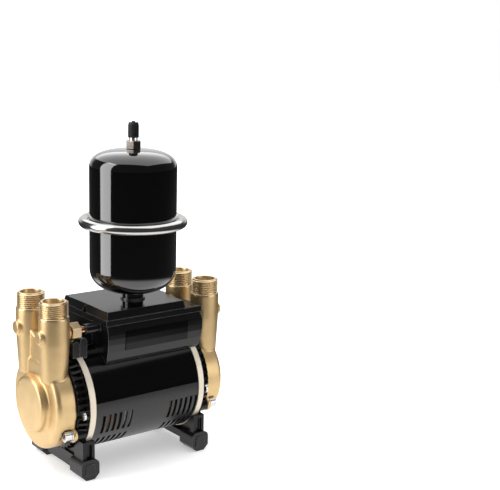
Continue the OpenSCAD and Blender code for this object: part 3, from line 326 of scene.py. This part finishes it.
nut_nickel = Finish("nut_nickel", (0.42, 0.37, 0.33), 0.22, 1.0)
nut_nickel.shades(2, 0.8, 1.15).worn(2, 0.06)

laminations = Finish("laminations", (0.3, 0.3, 0.32), 0.45, 1.0)
sheet_lines = laminations.node("ShaderNodeTexWave", {"bands_direction": "X"},
                               {"Vector": laminations.place(), "Scale": 300.0, "Distortion": 0.4})
laminations.shades(5, 0.8, 1.2).bumps(sheet_lines, 0.12)

cast_aluminium = Finish("cast_aluminium", (0.62, 0.63, 0.64), 0.38, 1.0)
cast_aluminium.shades(5, 0.85, 1.1).skin(0.8, 3.0, 0.05)
print("steel finishes ready")

# %% [markdown]
# ## What hides inside
# The inner pieces show through the vents and in a cut-away, so they get honest finishes as well:
# enamelled copper wire laid in loops, black carbon against white ceramic in the shaft seals, a
# green lacquered board, and plain moulded plastics.

# %% Inner finishes
winding_wire = Finish("winding_wire", (0.5, 0.2, 0.09), 0.3, 0.7)
loops = winding_wire.node("ShaderNodeTexWave", {"wave_type": "RINGS", "rings_direction": "X"},
                          {"Vector": winding_wire.place(), "Scale": 260.0, "Distortion": 3.0, "Detail": 2.0})
winding_wire.shades(2, 0.7, 1.2).bumps(loops, 0.3)

seal_carbon = Finish("seal_carbon", (0.03, 0.03, 0.032), 0.3)
seal_carbon.shades(1, 0.8, 1.4).skin(0.3, 2.0, 0.01)
seal_ceramic = Finish("seal_ceramic", (0.82, 0.8, 0.75), 0.15)
seal_ceramic.shades(2, 0.94, 1.03).skin(0.4, 2.0, 0.006)
white_plastic = Finish("white_plastic", (0.78, 0.78, 0.75), 0.38)
white_plastic.shades(4, 0.95, 1.03).skin(0.5, 2.0, 0.02)
board_green = Finish("board_green", (0.02, 0.13, 0.05), 0.25)
board_green.shades(1.2, 0.7, 1.5).skin(0.8, 2.0, 0.05)
switch_grey = Finish("switch_grey", (0.16, 0.17, 0.19), 0.4)
switch_grey.shades(3, 0.9, 1.1).skin(0.5, 2.0, 0.02)
soft_rubber = Finish("soft_rubber", (0.02, 0.02, 0.02), 0.55)
soft_rubber.shades(2, 0.8, 1.3).skin(0.5, 3.0, 0.03)
print("inner finishes ready")

# %% [markdown]
# ## Each solid takes its finish
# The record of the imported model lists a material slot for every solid. One table turns those slots
# into the finishes above, so no solid is forgotten, and a few solids that share a slot but differ
# on the real pump are named on their own.

# %% Finishes on the solids
finish_of_slot = {
    "cast_brass": cast_brass, "machined_brass": turned_brass, "copper": copper,
    "gloss_black_plastic": polished_cowl, "satin_black_plastic": satin_box,
    "grey_black_plastic": grained_cowl, "vessel_enamel": vessel_enamel,
    "polished_steel": ring_steel, "strap_steel": strap_steel, "zinc_steel": zinc,
    "bearing_steel": ground_steel, "lamination_steel": laminations,
    "rotor_aluminium": cast_aluminium, "rubber_black": soft_rubber, "seal_ceramic": seal_ceramic,
    "seal_carbon": seal_carbon, "white_plastic": white_plastic, "board_green": board_green,
    "switch_grey": switch_grey,
}
finish_of_node = {
    "bracket_left": bracket_black, "bracket_right": bracket_black, "name_panel": panel_black,
    "stator_windings": winding_wire, "neck_clip": clip_steel, "valve_nut": nut_nickel,
    "valve_stem": zinc,
}
finish_of_node.update({name: foot_rubber for name in nodes if name.startswith("foot_")})


def wear(piece, finish):
    piece.data.materials.clear()
    piece.data.materials.append(finish.material)


solids = frame["record"]["subparts"]
for row in solids:
    wear(nodes[row["node"]], finish_of_node.get(row["node"]) or finish_of_slot[row["material_slot"]])
print("dressed", len(solids), "solids")

# %% [markdown]
# ## Pump heads as castings
# In a real casting no two walls meet in a sharp corner: sand would break out there, so the pattern
# has a fillet everywhere. The solids have sharp corners, because exact solids with many fillets
# are slow. Here a copy of each body is rebuilt on a fine even grid of faces and then relaxed a few
# times, as tumbling does to the metal, which turns every inner corner into a fillet. The threaded
# tops are cut off and made on their own, because cutting tools leave them sharp.

# %% Recast the pump bodies
def settled(piece):
    """The mesh that the modifiers give, as the piece's own"""
    shown = piece.evaluated_get(bpy.context.evaluated_depsgraph_get())
    mesh = bpy.data.meshes.new_from_object(shown)
    piece.modifiers.clear()
    piece.data = mesh
    return mesh


def recast(node, name, top_z, grid_mm=0.8, rounds=9):
    piece = bpy.data.objects.new(name, nodes[node].data.copy())
    bpy.context.scene.collection.objects.link(piece)
    grid = piece.modifiers.new("grid", "REMESH")
    grid.mode = "VOXEL"
    grid.voxel_size = grid_mm * mm
    tumble = piece.modifiers.new("tumble", "SMOOTH")
    tumble.factor = 0.5
    tumble.iterations = rounds
    bpy.context.view_layer.update()
    mesh = settled(piece)
    cut = bmesh.new()
    cut.from_mesh(mesh)
    bmesh.ops.bisect_plane(cut, geom=cut.verts[:] + cut.edges[:] + cut.faces[:], plane_co=(0, 0, top_z),
                           plane_no=(0, 0, 1), clear_outer=True)
    cut.to_mesh(mesh)
    cut.free()
    mesh.shade_smooth()
    wear(piece, cast_brass)
    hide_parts(node)
    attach(piece, "frame")
    return piece


port_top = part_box("pump_body_right")[1].z
thread_length = 14 * mm
collar_height = 1.2 * mm
collar_z = port_top - thread_length - collar_height
castings = [recast(f"pump_body_{end}", f"casting_{end}", collar_z) for end in ("left", "right")]
print("castings", [len(c.data.polygons) for c in castings])

# %% [markdown]
# ## Port threads
# A pipe thread is one groove that climbs the port in a helix, 14 turns to the inch. It could be
# faked with a pattern of bumps, but these threads stand at the picture's edge against white, so
# their outline has to be right. Each is a grid of points round and up the port, whose radius dips
# with the height minus the turn. The rim, the bore and the collar under the thread belong to it.

# %% Cut the port threads
def lathe(name, rings, steps, finish, spot):
    """A closed solid through rings; each ring gives radius and height for a turn from 0 to 1"""
    mesh = bpy.data.meshes.new(name)
    points = []
    for ring in rings:
        for i in range(steps):
            radius, height = ring(i / steps)
            angle = 2 * math.pi * i / steps
            x, y = radius * math.cos(angle), radius * math.sin(angle)
            points.append((spot[0] + x, spot[1] + y, height))
    faces = []
    for row in range(len(rings)):
        here, there = row * steps, (row + 1) % len(rings) * steps
        for i in range(steps):
            j = (i + 1) % steps
            faces.append((here + i, here + j, there + j, there + i))
    mesh.from_pydata(points, [], faces)
    mesh.shade_smooth()
    mesh.set_sharp_from_angle(angle=math.radians(40))
    piece = bpy.data.objects.new(name, mesh)
    bpy.context.scene.collection.objects.link(piece)
    wear(piece, finish)
    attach(piece, "frame")
    return piece


def plain(radius_mm, height):
    return lambda turn: (radius_mm * mm, height)


def profile(table, base):
    """Plain rings from rows of radius and height above the base, both in millimetres"""
    return [plain(radius_mm, base + height_mm * mm) for radius_mm, height_mm in table]


def ridge(height, pitch, crest_mm, depth_mm):
    """One ring of a thread: full at the crest, and a rounded dip half a pitch away"""
    def ring(turn):
        dip = 0.5 - 0.5 * math.cos(2 * math.pi * (height / pitch - turn))
        return (crest_mm - depth_mm * dip) * mm, height
    return ring


inch_mm, turns_per_inch = 25.4, 14
crest_mm, groove_mm = 13.2, 1.05
run_out = 1.0 * mm
thread_steps, port_sides = 92, 96
collar_and_relief = [(13.9, -1.6), (13.9, -1.0), (13.5, -0.4), (12.2, 0), (12.1, 0.7)]
rim = [(12.1, -0.6), (11.9, -0.15), (11.6, 0), (10.2, 0), (9.7, -0.4), (9.5, -1.0)]
bore_and_socket = [(9.5, -4), (11, -4), (11, -1.6)]


def port_thread(name, spot):
    start, end = port_top - thread_length, port_top
    pitch = inch_mm / turns_per_inch * mm
    first, last = start + run_out, end - run_out
    rings = profile(collar_and_relief, start)
    for i in range(thread_steps + 1):
        height = first + (last - first) * i / thread_steps
        rings.append(ridge(height, pitch, crest_mm, groove_mm))
    rings += profile(rim, end) + profile(bore_and_socket, start)
    return lathe(name, rings, port_sides, turned_brass, spot)


tower_x, tower_y = 84 * mm, 22 * mm
towers = [(side, end, tower_x * sx, shaft_y + tower_y * sy)
          for end, sx in (("left", -1), ("right", 1)) for side, sy in (("front", -1), ("back", 1))]
threads = [port_thread(f"port_thread_{end}_{side}", (x, y)) for side, end, x, y in towers]
print("threads", len(threads), "of", len(threads[0].data.vertices), "points")

# %% [markdown]
# ## The vessel as spun steel
# The two halves of a pressure vessel are drawn from sheet and then spun smooth. The solids have
# their domes as a few flat bands, which gloss would show, so each half is turned again on the same
# lathe from many more rings: a flattened round for the dome, whose power sets how full it is. Each
# half is drawn up the outside and back down the inside, so it keeps its wall.

# %% Spin the vessel's halves
def dome_rings(radius_mm, height_mm, crown, way, power, inner_mm, count=44):
    """Rings from the inner radius at the crown out to the straight wall"""
    start = math.asin(inner_mm / radius_mm)
    rings = []
    for i in range(count + 1):
        share = math.sin(start + (math.pi / 2 - start) * i / count)
        drop = height_mm * (1 - (1 - share ** power) ** (1 / power))
        rings.append(plain(radius_mm * share, crown - way * drop * mm))
    return rings


stem_low, stem_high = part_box("valve_stem")
vessel_spot = (0.0, stem_low.y / 2 + stem_high.y / 2)
upper_low, upper_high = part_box("vessel_upper")
lower_low, lower_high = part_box("vessel_lower")
plate_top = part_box("vessel_plate")[1].z
neck_height = 11 * mm
low_crown = plate_top + neck_height
wall_mm, outer_mm, inner_mm = 1.5, 40.7, 39.2
flange_mm, flange_edge_mm = 42.8, 42.85
stem_hole_mm, neck_bore_mm, neck_mm, neck_foot_mm = 3.95, 5.0, 8.3, 10.0
upper_dome_mm, upper_power = 19, 2.7
lower_dome_mm, lower_power = 25, 2.4
vessel_sides = 128

upper_rings = (
    dome_rings(outer_mm, upper_dome_mm, upper_high.z, 1, upper_power, stem_hole_mm)
    + profile([(outer_mm, 1.7), (flange_mm, 1.5), (flange_edge_mm, 0), (inner_mm, 0)], upper_low.z)
    + dome_rings(inner_mm, upper_dome_mm - wall_mm, upper_high.z - wall_mm * mm, 1, upper_power,
                 stem_hole_mm)[::-1])
lower_rings = (
    profile([(neck_bore_mm, 0), (neck_mm, 0)], lower_low.z)
    + profile([(neck_mm, 0), (neck_foot_mm, 0.1)], plate_top)
    + dome_rings(outer_mm, lower_dome_mm, low_crown, -1, lower_power, neck_foot_mm)
    + profile([(outer_mm, -1.7), (flange_mm, -1.5), (flange_edge_mm, 0), (inner_mm, 0)], lower_high.z)
    + dome_rings(inner_mm, lower_dome_mm - wall_mm, low_crown + wall_mm * mm, -1, lower_power,
                 neck_bore_mm)[::-1])
for name, rings, node in (("vessel_shell_upper", upper_rings, "vessel_upper"),
                          ("vessel_shell_lower", lower_rings, "vessel_lower")):
    shell = lathe(name, rings, vessel_sides, vessel_enamel, vessel_spot)
    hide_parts(node)
print("vessel rings", len(upper_rings), len(lower_rings))

# %% [markdown]
# ## Softened edges
# No moulded or stamped edge is knife sharp: a narrow round catches a line of light, and that line
# is how the eye reads the shape. The solids keep their mesh, and a bevel modifier rounds only the
# edges that turn by more than a set angle.

# %% Softened edges
def soften(node, width_mm, angle=35, segments=2):
    piece = nodes[node]
    weld = piece.modifiers.new("weld", "WELD")
    weld.merge_threshold = 0.00001
    bevel = piece.modifiers.new("edge", "BEVEL")
    bevel.width = width_mm * mm
    bevel.segments = segments
    bevel.limit_method = "ANGLE"
    bevel.angle_limit = math.radians(angle)
    bevel.harden_normals = False


edge_widths = {"box_base": 0.8, "box_lid": 0.6, "vessel_plate": 0.7, "link_nut": 0.35, "valve_nut": 0.35}
for node, width in edge_widths.items():
    soften(node, width)
print("softened", len(edge_widths), "solids")

# %% [markdown]
# ## Floor
# The pump stands on a white sheet that fades into a white page, with a soft shadow under it. A
# plain white floor would mirror in the black enamel as a bright band, so the floor has two looks:
# to the camera it is white and lit from within far out, and to a mirror it is a painted light,
# paler and glowing only near the pump, which puts a painted reflection on the lower parts.

# %% Floor
def stage_floor(size, z):
    mesh = bpy.data.meshes.new("floor")
    corners = [(-size, -size, z), (size, -size, z), (size, size, z), (-size, size, z)]
    mesh.from_pydata(corners, [], [(0, 1, 2, 3)])
    floor = bpy.data.objects.new("floor", mesh)
    bpy.context.scene.collection.objects.link(floor)
    return floor


white, black = grey(1), grey(0)
floor = stage_floor(size=6, z=-0.0002)
floor_paint = Finish("floor_paint", (0.9, 0.9, 0.9), 0.9, Specular_IOR_Level=0.1)
camera_ray = floor_paint.node("ShaderNodeLightPath", out="Is Camera Ray")
glossy_ray = floor_paint.node("ShaderNodeLightPath", out="Is Glossy Ray")
reach = floor_paint.node("ShaderNodeVectorMath", {"operation": "LENGTH"}, {0: floor_paint.place()},
                         out="Value")
# Painted reflection: in gloss the floor's base colour is pale near the pump and near black far out.
painted_reflection_floor = floor_paint.mixed(reach.above(0.36, 0.12), grey(0.4), grey(0.04))
floor_paint.set("Base Color", floor_paint.mixed(glossy_ray, grey(0.9), painted_reflection_floor))
lift = floor_paint.mixed(reach.above(0.7, 0.4), grey(0.4), white)
floor_paint.set("Emission Strength", 1.0)
# Painted light: in gloss the floor glows near the pump and not beyond, though it is no lamp.
painted_reflection_glow = floor_paint.mixed(reach.above(0.33, 0.1), grey(0.85), black)
glow = floor_paint.mixed(glossy_ray, black, painted_reflection_glow)
floor_paint.set("Emission Color", floor_paint.mixed(camera_ray, glow, lift))
wear(floor, floor_paint)
print("floor", floor.dimensions.x, "m wide")

# %% [markdown]
# ## Surround
# What lies beyond the floor is a white page to the camera. Gloss sees another room: bright at the
# far side from the camera, which brightens the ring and the plate, and dim elsewhere, so that the
# black stays black. Plain light from all sides is at half strength. A picture of a room could do
# the same, but a direction and a few sums are enough here.

# %% Surround
class Surround(Finish):
    """The same node sums, for what lies beyond the floor"""
    def __init__(self, name):
        self.world = bpy.data.worlds.new(name)
        self.world.use_nodes = True
        self.tree = self.world.node_tree
        self.shader = self.tree.nodes["Background"]
        bpy.context.scene.world = self.world


camera_side = (-0.53, -0.85, 0.0)
far_side_light, near_side_light, plain_light = 0.85, 0.06, 0.5
surround = Surround("surround")
surround.set("Color", white)
toward_camera = surround.dot(surround.node("ShaderNodeTexCoord", out="Generated"), camera_side)
mirrored = surround.node("ShaderNodeMapRange", {"interpolation_type": "SMOOTHSTEP"},
                         {"Value": toward_camera, "From Min": -0.97, "From Max": -0.66,
                          "To Min": far_side_light, "To Max": near_side_light})
glossy = surround.node("ShaderNodeLightPath", out="Is Glossy Ray")
direct = surround.node("ShaderNodeLightPath", out="Is Camera Ray")
clear = surround.node("ShaderNodeLightPath", out="Is Transmission Ray")
unseen = mirrored * glossy + (1 - glossy) * plain_light
plainly = surround.sum("MAXIMUM", direct, clear)
surround.set("Strength", unseen * (1 - plainly) + plainly)
bpy.context.scene.view_settings.view_transform = "Standard"
print("surround nodes", len(surround.tree.nodes))

# %% [markdown]
# ## Lamps
# Catalogue pictures of black things need large soft lamps, because gloss shows the lamp and not the
# light. A big lamp overhead greys the flat tops, and a tall one at the left draws the long stripe
# down the vessel. A dim one in front lights only the brass, the straps and the zinc, by light
# linking, because its own stripe on the black enamel would be a fault.

# %% Lamps
def lamp(name, place, target, width, power, height=None):
    data = bpy.data.lights.new(name, "AREA")
    data.energy = power
    data.size = width
    if height:
        data.shape = "RECTANGLE"
        data.size_y = height
    thing = bpy.data.objects.new(name, data)
    thing.location = place
    thing.rotation_euler = (Vector(target) - Vector(place)).to_track_quat("-Z", "Y").to_euler()
    bpy.context.scene.collection.objects.link(thing)
    return thing


lamp("overhead", place=(0.2, 0.22, 1.1), target=(0, shaft_y, 0.13), width=2.0, power=18.0)
lamp("left_strip", place=(-0.55, 0.16, 0.42), target=(0, -0.01, 0.34), width=0.36, power=4.3, height=0.95)
metal_fill = lamp("metal_fill", place=(0.5, -0.8, 0.2), target=(0, 0, 0.1), width=0.8, power=2.6, height=0.5)
pale_metals = bpy.data.collections.new("pale metals")
pale_finishes = [finish.material for finish in (cast_brass, turned_brass, strap_steel, zinc)]
for thing in bpy.context.scene.objects:
    if any(held.material in pale_finishes for held in thing.material_slots):
        pale_metals.objects.link(thing)
metal_fill.light_linking.receiver_collection = pale_metals
